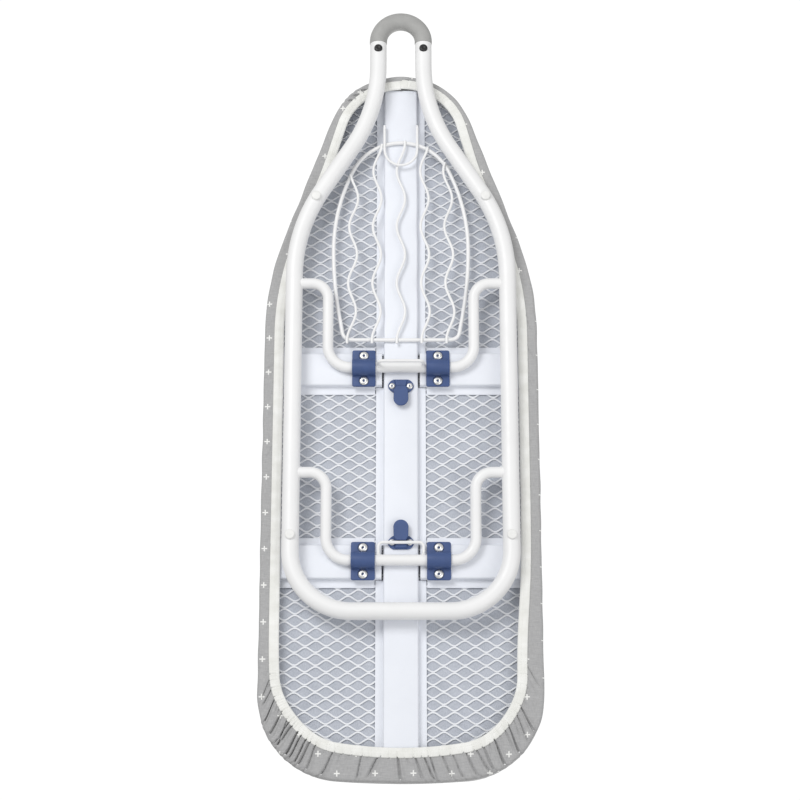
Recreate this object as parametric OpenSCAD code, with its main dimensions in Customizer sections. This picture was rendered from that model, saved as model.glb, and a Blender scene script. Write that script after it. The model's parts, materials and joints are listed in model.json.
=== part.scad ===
// Table-top ironing board with fold-flat legs, a hanging hook and a wire iron rest.
// Folded for storage it stands on the feet of its tube base, ironing side up.
// X is across the board, +Y points to the nose and the hook, Z = 0 is the table top.

/* [Board] */
// Length of the board over its cover, nose to tail
board_len = 811; // [780:1:840]
// Width of the board over its cover
board_w = 304; // [290:1:320]
// Radius of the round nose
nose_r = 84; // [76:1:92]
// Angle between the tapered sides and the long axis
taper = 20; // [18:0.5:22]
// Radius that blends the taper into the straight sides
flank_r = 350; // [300:5:400]
// Radius of the two tail corners
corner_r = 90; // [70:1:100]
// Radius of the slightly bowed tail edge
tail_r = 900; // [700:10:1200]
// Thickness of the foam pad
pad_t = 5.4; // [3:0.1:8]

/* [Base tube] */
// How far the hanging hook stands out past the nose
hook_reach = 72; // [70:1:95]
// Outside diameter of the base tube
base_od = 19; // [18:0.5:20]
// Wall of the base tube
base_wall = 1.2; // [1:0.1:1.5]
// Half the distance between the two arms of the hook
arm_x = 26; // [24:0.5:28]
// Half the distance between the straight sides
side_x = 119; // [117:0.5:120]
// Radius of the two bends between the arms and the diagonals
arm_bend_r = 190; // [170:5:200]
// Radius of the two bends between the diagonals and the sides
side_bend_r = 190; // [180:2:192]
// Radius of the two corners at the tail end
loop_corner_r = 66; // [62:1:66]
// Height of the feet below the tube
foot_h = 2.5; // [2:0.1:3]

/* [Legs] */
// Distance from the nose to the front leg's pivot in the base tube
front_base_set = 262; // [260:1:264]
// Outside diameter of the leg tubes
leg_od = 12; // [11:0.5:12]
// Wall of the leg tubes
leg_wall = 1; // [0.8:0.1:1.2]
// Half the distance between a leg's two side tubes
leg_x = 81; // [80:0.5:83]
// Distance along the board from a leg's base pivot to its board pivot
leg_run = 95; // [92:0.5:98]
// Distance between the front leg and the rear leg
leg_pitch = 218; // [214:1:222]
// Distance from a cross tube's axis to the crossbar of its latch bail
bail_reach = 19.6; // [19:0.1:20]

/* [Iron rest] */
// Diameter of the rest's outer frame wire
frame_wire = 4.4; // [4:0.1:5]
// Diameter of the wavy wires and the hook wire
rest_wire = 3; // [2.5:0.1:3.5]
// Sideways swing of the wavy wires
wave = 4.7; // [3:0.1:5]

/* [Hidden] */
$fn = 48;

// Colours
steel_white = [0.93, 0.93, 0.93];
clip_blue = [0.27, 0.36, 0.53];
grip_grey = [0.67, 0.67, 0.66];
cloth_grey = [0.68, 0.68, 0.69];
foam_grey = [0.71, 0.72, 0.76];
rivet_silver = [0.86, 0.86, 0.86];
plug_black = [0.08, 0.08, 0.08];

// Places along the board
half_w = board_w / 2;
y_nose = (board_len - hook_reach) / 2;
y_tail = y_nose - board_len;
y_hook = y_nose + hook_reach;
front_base_y = y_nose - front_base_set;   // front leg's pivot in the base tube
front_y = front_base_y - leg_run;         // front leg's cross tube, under the front brace
rear_base_y = front_base_y - leg_pitch;
rear_y = front_y - leg_pitch;

// Heights above the table
base_r = base_od / 2;
base_z = foot_h + base_r;                 // base tube's axis
leg_r = leg_od / 2;
leg_z = base_z + 10;                      // axis of both cross tubes, board folded
gap = 0.3;                                // clearance between pieces that move
web_z = leg_z + leg_r + gap;              // lower face of the spine and braces
sheet = 1;                                // thickness of the pressed steel sections
hat_h = 8.7;                              // height of the pressed steel sections
deck_z = web_z + hat_h;                   // lower face of the mesh deck
deck_t = 1.2;
pad_z = deck_z + deck_t + 0.2;
cloth_t = 1.2;
cover_top = pad_z + pad_t + 0.2 + cloth_t;
cover_z = base_z + base_r + 4;            // lower face of the cover's turned-under edge
leg_angle = atan2(leg_z - base_z, leg_run);

// Pressed steel sections
web_w = 38;
flange = 8.5;
spine_tail_set = 24;                      // spine stops this far short of the tail
spine_nose_set = 18;
brace_set = 16;                           // braces stop this far short of the board's side
slit = 2;                                 // open slot between the spine and a brace

// Hardware
clip_x = 41;                              // clips to each side of the long axis
clip_w = 26;
clip_len = 42;
clip_wall = 2.6;
rivet_pitch = 29;
rivet_head = 10;
rivet_shank = 4;
latch_pitch = 19.5;
latch_rivet_head = 7;
latch_shank = 3;
bail_wire = 3.5;
bail_w = 49;
bail_bend_r = 5;
front_bail_lean = 4;                      // towards the nose, board folded

// ---------------------------------------------------------------- outline

function arc(c, r, a0, a1, n) =
    [for (i = [0:n]) let (a = a0 + (a1 - a0) * i / n) c + r * [cos(a), sin(a)]];

// Right half of the board's outline, drawn in by d all round and by t more at the tail
nose_c = [0, y_nose - nose_r];
flank_c = [half_w - flank_r, 0];
flank_y = nose_c[1] + (nose_r - flank_r - cos(taper) * flank_c[0]) / sin(taper);
tail_cy = y_tail + tail_r;
corner_x = half_w - corner_r;
corner_y = tail_cy - sqrt(pow(tail_r - corner_r, 2) - pow(corner_x, 2));
tail_a = asin(corner_x / (tail_r - corner_r));
function half_outline(d, t) = concat(
    arc([0, tail_cy + t], tail_r - d, -90, tail_a - 90, 4),
    arc([corner_x, corner_y + t], corner_r - d, tail_a - 90, 0, 12),
    arc([flank_c[0], flank_y], flank_r - d, 0, taper, 5),
    arc(nose_c, nose_r - d, taper, 90, 10));

module outline(d = 0, t = 0) {
    right = half_outline(d, t);
    left = [for (i = [len(right) - 2:-1:1]) [-right[i][0], right[i][1]]];
    polygon(concat(right, left));
}

module band(d0, d1, z, h, t = 0)
    translate([0, 0, z]) linear_extrude(h) difference() {
        outline(d0, t);
        outline(d1, t);
    }

// ---------------------------------------------------------------- tube and wire

module ring(r, wall) {
    difference() {
        circle(r);
        if (wall > 0) circle(r - wall);
    }
}

function unit(v) = v / norm(v);
function turn(a, b, c) = atan2(cross(b - a, c - b), (b - a) * (c - b));
function setback(turns, radii, i) = (i < 0 || i == len(turns)) ? 0 : radii[i] * tan(abs(turns[i]) / 2);

// A bend about the origin that starts at -Y and turns left by up to a quarter turn. It is cut
// off by a plane of the next run's own frame, so that the two faces meet exactly.
module bend(angle, radius, r, wall) {
    difference() {
        rotate([0, 0, -90]) rotate_extrude(angle = 90) translate([radius, 0]) ring(r, wall);
        if (angle < 89.9) rotate([0, 0, angle]) translate([0, -2 * radius, -2 * r])
            cube([2 * radius, 4 * radius, 4 * r]);
    }
}

// Straight runs and bends laid end to end, each in the frame of the one before
module chain(runs, turns, radii, r, wall, i = 0) {
    rotate([0, 90, 0]) linear_extrude(runs[i]) ring(r, wall);
    if (i < len(turns)) {
        side = sign(turns[i]);
        translate([runs[i], side * radii[i], 0]) {
            mirror([0, side < 0 ? 1 : 0, 0]) bend(abs(turns[i]), radii[i], r, wall);
            rotate([0, 0, turns[i]]) translate([0, -side * radii[i], 0])
                chain(runs, turns, radii, r, wall, i + 1);
        }
    }
}

// A tube in the XY plane through the corners in path, bent at each to its radius
module bent_tube(path, radii, r, wall = 0) {
    last = len(path) - 1;
    turns = [for (i = [1:last - 1]) turn(path[i - 1], path[i], path[i + 1])];
    runs = [for (i = [0:last - 1])
        norm(path[i + 1] - path[i]) - setback(turns, radii, i - 1) - setback(turns, radii, i)];
    start = path[1] - path[0];
    translate([path[0][0], path[0][1], 0]) rotate([0, 0, atan2(start[1], start[0])])
        chain(runs, turns, radii, r, wall);
}

// A wire of n sides swept along points in space
module wire(path, r, closed = false, n = 8) {
    m = len(path);
    function ahead(i) = closed ? (i + 1) % m : min(i + 1, m - 1);
    function behind(i) = closed ? (i + m - 1) % m : max(i - 1, 0);
    pts = [for (i = [0:m - 1])
        let (t = unit(path[ahead(i)] - path[behind(i)]), s = unit(cross(t, [0, 0, 1])), u = cross(s, t))
            for (k = [0:n - 1]) path[i] + r * (cos(360 * k / n) * s + sin(360 * k / n) * u)];
    skin = [for (i = [0:(closed ? m - 1 : m - 2)]) for (k = [0:n - 1])
        let (j = (i + 1) % m, l = (k + 1) % n)
            each [[i * n + k, i * n + l, j * n + l], [i * n + k, j * n + l, j * n + k]]];
    ends = closed ? [] : [[for (k = [n - 1:-1:0]) k], [for (k = [0:n - 1]) (m - 1) * n + k]];
    polyhedron(pts, concat(skin, ends));
}

// ---------------------------------------------------------------- base

arm_top = y_hook - arm_x - base_r - 0.5;  // centre of the hook's half circle
tube_end_y = arm_top - 3;                 // the tube's open ends, inside the grip's straight rims
plug_y = tube_end_y - 9;
arm_bend_y = arm_top - 86.5;              // corner between an arm and its diagonal
// a slope whose sine and cosine are 0.5376 and 0.8432, so that rounding leaves it square
diagonal = 2 * atan(7 / 24);
side_bend_y = arm_bend_y - (side_x - arm_x) / tan(diagonal);
bend_end_y = side_bend_y - side_bend_r * tan(diagonal / 2);
base_end_y = rear_y - 57.5;               // axis of the bar at the tail end
// the front feet are on the side bends, the rear feet on the straight sides
front_foot_y = front_base_y + 102;
front_foot_x = side_x - side_bend_r + sqrt(pow(side_bend_r, 2) - pow(front_foot_y - bend_end_y, 2));
rear_foot_y = rear_base_y - 71;
feet = [[front_foot_x, front_foot_y], [-front_foot_x, front_foot_y], [side_x, rear_foot_y], [-side_x, rear_foot_y]];
foot_d = 11;
stem_d = 5;

// The whole base tube, from one end inside the grip to the other
module base_tube() difference() {
    right = [[arm_x, tube_end_y], [arm_x, arm_bend_y], [side_x, side_bend_y], [side_x, base_end_y]];
    left = [for (i = [3:-1:0]) [-right[i][0], right[i][1]]];
    radii = [arm_bend_r, side_bend_r, loop_corner_r];
    translate([0, 0, base_z])
        bent_tube(concat(right, left), [for (i = [0, 1, 2, 2, 1, 0]) radii[i]], base_r, base_wall, $fn = 60);
    // pivot holes for the turned-out leg ends, through the inner wall only
    for (s = [-1, 1], y = [front_base_y, rear_base_y])
        translate([s * side_x, y, base_z]) rotate([0, -90 * s, 0]) cylinder(r = leg_r + 0.08, h = base_r + 1);
    for (f = feet) translate([f[0], f[1], 0]) cylinder(d = stem_d, h = base_z);
    for (s = [-1, 1]) translate([s * arm_x, plug_y, 0]) cylinder(d = stem_d, h = base_z);
}

// One tube on the real object. It is cut across its straight runs, a little clear of the bends.
cut_clear = 0.3;
side_top_y = bend_end_y - cut_clear;
side_end_y = base_end_y + loop_corner_r + cut_clear;
bar_end_x = side_x - loop_corner_r - cut_clear;

// The part of the base tube between two corners of a box, on one side of the board
module base_part(side, low, high)
    color(steel_white) intersection() {
        base_tube();
        mirror([side < 0 ? 1 : 0, 0, 0]) translate([low[0], low[1], 0])
            cube([high[0] - low[0], high[1] - low[1], base_z + base_r + 1]);
    }

module base_arm(side) base_part(side, [0, side_top_y], [half_w, y_hook]);
module base_side(side) base_part(side, [arm_x, side_end_y], [half_w, side_top_y]);
module base_corner(side) base_part(side, [bar_end_x, y_tail], [half_w, side_end_y]);
module base_arm_left() base_arm(-1);
module base_arm_right() base_arm(1);
module base_side_left() base_side(-1);
module base_side_right() base_side(1);
module base_corner_left() base_corner(-1);
module base_corner_right() base_corner(1);
module base_tail_bar() base_part(1, [-bar_end_x, y_tail], [bar_end_x, rear_y]);

// Moulded U grip with spigots that plug into the tube's two arms
module hook_grip() color(grip_grey) difference() {
    grip_r = base_r + 0.5;
    spigot_r = base_r - base_wall - 0.05;
    union() {
        translate([0, arm_top, base_z]) rotate_extrude(angle = 180) translate([arm_x, 0]) circle(grip_r);
        for (s = [-1, 1]) translate([s * arm_x, arm_top, base_z]) rotate([90, 0, 0]) {
            cylinder(r = grip_r, h = arm_top - tube_end_y);
            cylinder(r = spigot_r, h = 26);
        }
    }
    for (s = [-1, 1]) translate([s * arm_x, plug_y, base_z - base_r - 1]) cylinder(d = stem_d, h = base_r);
}

module grip_plugs() color(plug_black) for (s = [-1, 1]) translate([s * arm_x, plug_y, 0]) {
    difference() {
        translate([0, 0, base_z - base_r - 0.8]) cylinder(d = 9.5, h = 2.4);
        translate([0, 15, base_z]) rotate([90, 0, 0]) cylinder(r = base_r, h = 30);
    }
    translate([0, 0, base_z - base_r - 0.5]) cylinder(d = stem_d - 0.04, h = 7);
}

// The tube leans by a little less than the diagonal at the front feet. The sine and cosine of
// the small difference are 0.07584 and 0.99712, so that rounding leaves it square too.
lean_less = 5 * atan(3 / 4) - 180;
module base_feet() color(steel_white) for (f = feet) {
    side = abs(f[0]) == side_x ? 0 : sign(f[0]);
    translate([f[0], f[1], 0]) {
        difference() {
            cylinder(d = foot_d, h = foot_h + 2);
            translate([0, 0, base_z]) rotate([0, 0, side * diagonal]) rotate([0, 0, -side * lean_less])
                rotate([90, 0, 0]) cylinder(r = base_r + 0.05, h = 30, center = true);
        }
        translate([0, 0, 0.5]) cylinder(d = stem_d - 0.04, h = foot_h + 4);
    }
}

// ---------------------------------------------------------------- legs

leg_turn_r = 18;                          // bends at the base pivots
leg_corner_r = 24;                        // bends at the cross tube
leg_end = 1.5;                            // leg ends stop this far short of the base tube's axis

// A leg lies in its own plane, which tilts up from the base pivots to the cross tube
module leg_tube(base_y) {
    length = norm([leg_run, leg_z - base_z]);
    end_x = side_x - leg_end;
    color(steel_white) translate([0, base_y, base_z]) rotate([-leg_angle, 0, 0])
        bent_tube([[end_x, 0], [leg_x, 0], [leg_x, -length], [-leg_x, -length], [-leg_x, 0], [-end_x, 0]],
            [leg_turn_r, leg_corner_r, leg_corner_r, leg_turn_r], leg_r, leg_wall);
}

// Wire loop welded on the cross tube, which the latch holds by its crossbar
module bail(y, tilt)
    color(steel_white) translate([0, y, leg_z]) rotate([tilt, 0, 0]) difference() {
        bent_tube([[-bail_w / 2, 0], [-bail_w / 2, bail_reach], [bail_w / 2, bail_reach], [bail_w / 2, 0]],
            [bail_bend_r, bail_bend_r], bail_wire / 2);
        rotate([0, 90, 0]) cylinder(r = leg_r, h = bail_w + 10, center = true);
    }

module front_leg_tube() leg_tube(front_base_y);
module rear_leg_tube() leg_tube(rear_base_y);
module front_leg_bail() bail(front_y, front_bail_lean - 90);
module rear_leg_bail() bail(rear_y, 0);

// ---------------------------------------------------------------- clips and rivets

// Moulded saddle that holds a cross tube up against its brace
module clip(x, y) {
    color(clip_blue) translate([x - clip_w / 2, y, leg_z]) difference() {
        rotate([90, 0, 90]) linear_extrude(clip_w) difference() {
            union() {
                intersection() {
                    circle(leg_r + gap + clip_wall);
                    translate([-20, -20]) square([40, 20 + web_z - leg_z]);
                }
                translate([-clip_len / 2, web_z - leg_z - 3]) square([clip_len, 3]);
            }
            circle(leg_r + gap);
            translate([-leg_r - gap, 0]) square([2 * (leg_r + gap), 20]);
        }
        for (s = [-1, 1]) translate([clip_w / 2, s * rivet_pitch / 2, -20]) cylinder(d = rivet_shank + 0.1, h = 40);
    }
}

module front_clip_left() clip(-clip_x, front_y);
module front_clip_right() clip(clip_x, front_y);
module rear_clip_left() clip(-clip_x, rear_y);
module rear_clip_right() clip(clip_x, rear_y);

// Tubular rivet: a broad head below, a shank and a rolled end above the sheet
module rivet(head, shank, grip_t) {
    difference() {
        union() {
            translate([0, 0, -grip_t - 1.4]) cylinder(d = head, h = 1.4);
            translate([0, 0, -grip_t - 1]) cylinder(d = shank, h = grip_t + sheet + 2);
            translate([0, 0, sheet]) cylinder(d = shank + 2, h = 1);
        }
        translate([0, 0, -grip_t - 2]) cylinder(d = shank * 0.6, h = grip_t + 4);
    }
}

module clip_rivets(y) color(rivet_silver)
    for (x = [-clip_x, clip_x], s = [-1, 1]) translate([x, y + s * rivet_pitch / 2, web_z])
        rivet(rivet_head, rivet_shank, 3);

module front_clip_rivets() clip_rivets(front_y);
module rear_clip_rivets() clip_rivets(rear_y);

// ---------------------------------------------------------------- latches

// Drawn with the tongue towards +Y and its height below the spine as +Z, from the rivets' line
plate_t = 2;
lobe_d = 9;                                       // plate around each rivet
ramp_w = 11;
ramp_y = -6.5;                                    // foot of the ramp
groove_h = web_z - leg_z - bail_wire / 2 - 0.4;   // bail's crossbar lies just above this
shoulder_y = 1.3;                                 // face of the tongue beside the crossbar
tongue_w = 16.5;
tongue_end = 24;
tongue_z = 6;                                     // lower face of the finger tab
tongue_t = 2.4;
latch_gap = 0.35;

module latch_base() color(clip_blue) difference() {
    union() {
        for (s = [-1, 1]) translate([s * latch_pitch / 2, 0, 0]) cylinder(d = lobe_d, h = plate_t);
        translate([-latch_pitch / 2, -lobe_d / 2, 0]) cube([latch_pitch, lobe_d, plate_t]);
        // low ramp and groove that the crossbar drops into
        translate([-ramp_w / 2, ramp_y, 0]) cube([ramp_w, shoulder_y - 0.6 - ramp_y, groove_h]);
    }
    for (s = [-1, 1]) translate([s * latch_pitch / 2, 0, -1]) cylinder(d = latch_shank + 0.1, h = 10);
}

module latch_tongue() color(clip_blue) {
    // shoulder beside the crossbar, and the finger tab that it carries
    translate([-ramp_w / 2, shoulder_y, plate_t + latch_gap])
        cube([ramp_w, 3, tongue_z + tongue_t - plate_t - latch_gap]);
    translate([0, 0, tongue_z]) linear_extrude(tongue_t) {
        translate([-tongue_w / 2, shoulder_y]) square([tongue_w, tongue_end - tongue_w / 2 - shoulder_y]);
        translate([0, tongue_end - tongue_w / 2]) circle(d = tongue_w);
    }
}

latch_set = bail_reach + 0.9;                     // from a cross tube's axis to the rivets' line
front_latch_y = front_y - latch_set;
rear_latch_y = rear_y + latch_set;
module on_front_latch() translate([0, front_latch_y, web_z]) rotate([180, 0, 0]) children();
module on_rear_latch() translate([0, rear_latch_y, web_z]) rotate([0, 180, 0]) children();

module front_latch_base() on_front_latch() latch_base();
module front_latch_tongue() on_front_latch() latch_tongue();
module rear_latch_base() on_rear_latch() latch_base();
module rear_latch_tongue() on_rear_latch() latch_tongue();
module latch_rivets() color(rivet_silver)
    for (y = [front_latch_y, rear_latch_y], s = [-1, 1]) translate([s * latch_pitch / 2, y, web_z])
        rivet(latch_rivet_head, latch_shank, plate_t);

// ---------------------------------------------------------------- board frame

// Pressed hat section along +X, from x0 to x1: web below, flanges against the deck
module hat(x0, x1, flange_x0, flange_x1) {
    translate([x0, -web_w / 2, web_z]) cube([x1 - x0, web_w, sheet]);
    for (s = [-1, 1]) translate([x0, s * (web_w - sheet) / 2 - sheet / 2, web_z]) cube([x1 - x0, sheet, hat_h]);
    for (s = [-1, 1]) translate([flange_x0, s * (web_w / 2 + flange / 2 - sheet / 2) - (flange + sheet) / 2, deck_z - sheet])
        cube([flange_x1 - flange_x0, flange + sheet, sheet]);
}

module spine() color(steel_white) difference() {
    start = y_tail + spine_tail_set;
    end = y_nose - spine_nose_set;
    notch_w = 20;
    notch_len = web_w + 1;
    rotate([0, 0, 90]) hat(start, end, start, end);
    // flanges are notched where the braces reach the spine
    for (y = [front_y, rear_y], s = [-1, 1])
        translate([s * (web_w / 2 + notch_w / 2 + 0.2) - notch_w / 2, y - notch_len / 2, deck_z - sheet - 1])
            cube([notch_w, notch_len, sheet + 2]);
    for (y = [front_latch_y, rear_latch_y], s = [-1, 1])
        translate([s * latch_pitch / 2, y, web_z - 1]) cylinder(d = latch_shank + 0.1, h = 3);
}

module brace(y, side) color(steel_white) translate([0, y, 0]) rotate([0, 0, side > 0 ? 0 : 180]) difference() {
    hat(web_w / 2 + slit, half_w - brace_set, web_w / 2 + flange + 1, half_w - brace_set);
    for (s = [-1, 1]) translate([clip_x, s * rivet_pitch / 2, web_z - 1]) cylinder(d = rivet_shank + 0.1, h = 3);
}

module front_brace_left() brace(front_y, -1);
module front_brace_right() brace(front_y, 1);
module rear_brace_left() brace(rear_y, -1);
module rear_brace_right() brace(rear_y, 1);

// Expanded steel sheet, drawn with openings twice the real pitch
mesh_w = 45.6;
mesh_h = 27.8;
open_w = 0.84 * mesh_w;
open_h = 0.84 * mesh_h;
module deck_mesh() color(steel_white) translate([0, 0, deck_z]) linear_extrude(deck_t) difference() {
    outline(4);
    intersection() {
        outline(16);
        translate([0, y_tail]) for (j = [1:2 * board_len / mesh_h], i = [-4:4])
            translate([(i + (j % 2) / 2) * mesh_w, j * mesh_h / 2])
                polygon([[-open_w / 2, 0], [0, -open_h / 2], [open_w / 2, 0], [0, open_h / 2]]);
    }
}

module deck_rim() color(steel_white) {
    band(1.8, 3.6, cover_z + cloth_t + 0.3, deck_z + deck_t - cover_z - cloth_t - 0.3);
    band(3.4, 14, deck_z - sheet - 0.2, sheet);
}

// ---------------------------------------------------------------- pad and cover

hem_in = 11;                              // grey edge outside the hem
hem_w = 11;
hem_tail = 18;                            // how much further in the hem lies at the tail
hem_t = 2.6;
module foam_pad() color(foam_grey) translate([0, 0, pad_z]) linear_extrude(pad_t) outline(1.6);

module cover() color(cloth_grey) difference() {
    translate([0, 0, cover_z]) linear_extrude(cover_top - cover_z) outline();
    translate([0, 0, cover_z + cloth_t]) linear_extrude(cover_top - cover_z - 2 * cloth_t) outline(cloth_t);
    translate([0, 0, cover_z - 1]) linear_extrude(cloth_t + 2) outline(hem_in + hem_w, hem_tail);
}

module hem_binding() color(steel_white) difference() {
    band(hem_in, hem_in + hem_w, cover_z - hem_t, hem_t, hem_tail);
    band(hem_in + 3.4, hem_in + 5.6, cover_z - 1.9, 1.6, hem_tail);
}

module hem_elastic() color(steel_white) band(hem_in + 3.7, hem_in + 5.3, cover_z - 1.8, 1.4, hem_tail);

// ---------------------------------------------------------------- iron rest

rest_z = web_z - gap - frame_wire / 2;
wavy_z = rest_z - frame_wire / 2 - rest_wire / 2 + 0.2;
arch_r = 60;
arch_c = [0, y_nose - 145];               // centre of the arch at the rest's nose end
arch_a = 22.3;                            // the arch starts at this angle
rest_max = 76;                            // half width of the frame at its widest
widest_y = arch_c[1] - 70.5;              // where the frame is widest
bar_y = front_y + 33;                     // the frame's end bar
bar_r = 9.5;                              // bends at the bar's ends
corner = [56.5, bar_y + bar_r];
up_r = 222.7;                             // the sides bow in two arcs, above and below the widest place
down_r = 460;
bow_up = arc([rest_max - up_r, widest_y], up_r, 0, 23.5, 10);
bow_down = arc([rest_max - down_r, widest_y], down_r, -12.4, 0, 8);
function rest_half() = concat(
    arc(corner, bar_r, -90, -8, 5), bow_down, [for (i = [1:len(bow_up) - 1]) bow_up[i]],
    arc(arch_c, arch_r, arch_a, 90, 12));

module rest_frame() {
    right = rest_half();
    left = [for (i = [len(right) - 2:-1:0]) [-right[i][0], right[i][1]]];
    color(steel_white) wire([for (p = concat(right, left)) [p[0], p[1], rest_z]], frame_wire / 2, closed = true);
}

wave_len = 68;
wave_peak_y = y_nose - 155.5;             // where the waves swing furthest to one side
wavy_pitch = 27.7;                        // between the wires, at the bar
wavy_closing = 1.2;                       // the wires close up by this towards the arch
function swing(y) = -wave * cos(360 * (y - wave_peak_y) / wave_len);
// where a wire that swings about x meets the arch, closing in from a first guess
function arch_y(x, y, rounds = 6) = rounds == 0 ? y :
    arch_y(x, (y + arch_c[1] + sqrt(pow(arch_r, 2) - pow(x + swing(y), 2))) / 2, rounds - 1);
module rest_wavy_wires() color(steel_white) for (k = [-2:2]) {
    x_bar = k * wavy_pitch;
    x_arch = k * (wavy_pitch - wavy_closing);
    y0 = bar_y - 5;
    y1 = arch_y(x_arch, arch_c[1] + sqrt(pow(arch_r, 2) - pow(x_arch, 2))) + 1;
    steps = 36;
    wire([for (i = [0:steps]) let (f = i / steps, y = y0 + (y1 - y0) * f)
        [x_bar + (x_arch - x_bar) * f + swing(y), y, wavy_z]], rest_wire / 2);
}

hook_x = 18.75;                           // half width and bend of the hook wire's U
hook_low_y = y_nose - 97;                 // centre of the bend
hook_end_y = y_nose - 65;                 // open ends of the U
module rest_hook_wire() {
    arm = [for (y = [hook_end_y, hook_low_y + 12]) [hook_x, y]];
    half = concat(arm, arc([0, hook_low_y], hook_x, 0, -90, 6));
    path = concat(half, [for (i = [len(half) - 2:-1:0]) [-half[i][0], half[i][1]]]);
    drop = rest_wire - 0.2;
    // the bend dips to pass under the middle wavy wire
    color(steel_white) wire([for (p = path)
        [p[0], p[1], wavy_z - drop * min(1, max(0, (hook_low_y + 10 - p[1]) / 20))]], rest_wire / 2);
}

base_arm_left();
base_arm_right();
base_side_left();
base_side_right();
base_corner_left();
base_corner_right();
base_tail_bar();
hook_grip();
grip_plugs();
base_feet();
front_leg_tube();
front_leg_bail();
rear_leg_tube();
rear_leg_bail();
front_clip_left();
front_clip_right();
rear_clip_left();
rear_clip_right();
front_clip_rivets();
rear_clip_rivets();
front_latch_base();
front_latch_tongue();
rear_latch_base();
rear_latch_tongue();
latch_rivets();
spine();
front_brace_left();
front_brace_right();
rear_brace_left();
rear_brace_right();
deck_mesh();
deck_rim();
foam_pad();
cover();
hem_binding();
hem_elastic();
rest_frame();
rest_wavy_wires();
rest_hook_wire();
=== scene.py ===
"""Looks of the table-top ironing board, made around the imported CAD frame.

Lengths are in metres, X across the board, +Y to the nose and the hanging hook, Z up.
"""
import json
import math
import random

import bmesh
import bpy
import numpy as np
from mathutils import Matrix, Vector


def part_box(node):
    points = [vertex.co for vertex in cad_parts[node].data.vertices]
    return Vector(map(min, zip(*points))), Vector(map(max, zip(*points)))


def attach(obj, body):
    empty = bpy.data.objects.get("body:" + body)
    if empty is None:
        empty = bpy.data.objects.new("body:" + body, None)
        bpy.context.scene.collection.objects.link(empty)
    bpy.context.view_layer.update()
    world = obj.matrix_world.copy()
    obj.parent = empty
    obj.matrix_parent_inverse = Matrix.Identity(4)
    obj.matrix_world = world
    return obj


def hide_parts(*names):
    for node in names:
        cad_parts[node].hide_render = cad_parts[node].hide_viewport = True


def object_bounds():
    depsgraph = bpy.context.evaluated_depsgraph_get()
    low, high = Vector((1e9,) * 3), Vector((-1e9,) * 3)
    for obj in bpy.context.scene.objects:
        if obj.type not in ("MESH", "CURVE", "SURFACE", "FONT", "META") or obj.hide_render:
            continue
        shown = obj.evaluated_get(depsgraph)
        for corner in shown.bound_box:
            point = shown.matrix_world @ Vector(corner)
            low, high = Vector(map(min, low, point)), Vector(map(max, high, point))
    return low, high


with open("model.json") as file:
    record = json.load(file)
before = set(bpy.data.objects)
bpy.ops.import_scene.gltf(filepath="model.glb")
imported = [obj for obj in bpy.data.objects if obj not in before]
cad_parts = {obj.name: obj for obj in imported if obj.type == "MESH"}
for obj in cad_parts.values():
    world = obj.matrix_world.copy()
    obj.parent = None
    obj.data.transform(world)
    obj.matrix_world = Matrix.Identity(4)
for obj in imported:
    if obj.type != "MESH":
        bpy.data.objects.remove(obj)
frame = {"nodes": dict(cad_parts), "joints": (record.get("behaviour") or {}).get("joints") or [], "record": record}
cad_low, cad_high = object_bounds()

MM = 0.001
scene = bpy.context.scene


# ---------------------------------------------------------------- camera, light and floor

def make_camera():
    """Looks up at the underside, leaning from straight below towards the tail."""
    lean = math.radians(17)
    distance = 2.207
    target = Vector((1.0, -24.5, 25.0)) * MM
    ahead = Vector((0, math.sin(lean), math.cos(lean)))
    up = Vector((0, math.cos(lean), -math.sin(lean)))
    data = bpy.data.cameras.new("camera")
    data.lens = 90
    data.clip_end = 50
    camera = bpy.data.objects.new("camera", data)
    scene.collection.objects.link(camera)
    axes = Matrix((ahead.cross(up), up, -ahead)).transposed()
    camera.matrix_world = Matrix.Translation(target - distance * ahead) @ axes.to_4x4()
    scene.camera = camera


def area_light(name, place, size, power, target=(0, 0, 0)):
    data = bpy.data.lights.new(name, "AREA")
    data.shape = "DISK"
    data.size = size
    data.energy = power
    light = bpy.data.objects.new(name, data)
    scene.collection.objects.link(light)
    light.location = place
    light.rotation_euler = (Vector(target) - Vector(place)).to_track_quat("-Z", "Y").to_euler()
    return light


def make_lights():
    """Two soft lights below for the photo's side, one above, and an even white world."""
    area_light("key_below", (1.1, 0.8, -2.3), 1.3, 31)
    area_light("fill_below", (-1.5, -0.8, -2.1), 2.0, 15)
    area_light("top", (-0.9, -0.8, 2.4), 2.0, 38)
    world = bpy.data.worlds.new("studio")
    scene.world = world
    world.use_nodes = True
    tree = world.node_tree
    background = tree.nodes["Background"]
    background.inputs["Color"].default_value = (1, 1, 1, 1)
    background.inputs["Strength"].default_value = 0.54
    seen = tree.nodes.new("ShaderNodeBackground")
    seen.inputs["Color"].default_value = (1, 1, 1, 1)
    seen.inputs["Strength"].default_value = 1.05
    path = tree.nodes.new("ShaderNodeLightPath")
    mix = tree.nodes.new("ShaderNodeMixShader")
    tree.links.new(path.outputs["Is Camera Ray"], mix.inputs[0])
    tree.links.new(background.outputs[0], mix.inputs[1])
    tree.links.new(seen.outputs[0], mix.inputs[2])
    tree.links.new(mix.outputs[0], tree.nodes["World Output"].inputs["Surface"])
    scene.view_settings.view_transform = "Standard"


# ---------------------------------------------------------------- materials

def linear(red, green, blue):
    """A colour given as it looks on a screen, 0 to 255."""
    def channel(value):
        value /= 255
        return value / 12.92 if value <= 0.04045 else ((value + 0.055) / 1.055) ** 2.4
    return (channel(red), channel(green), channel(blue), 1)


def shade(colour, factor):
    return tuple(min(1, c * factor) for c in colour[:3]) + (1,)


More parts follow.
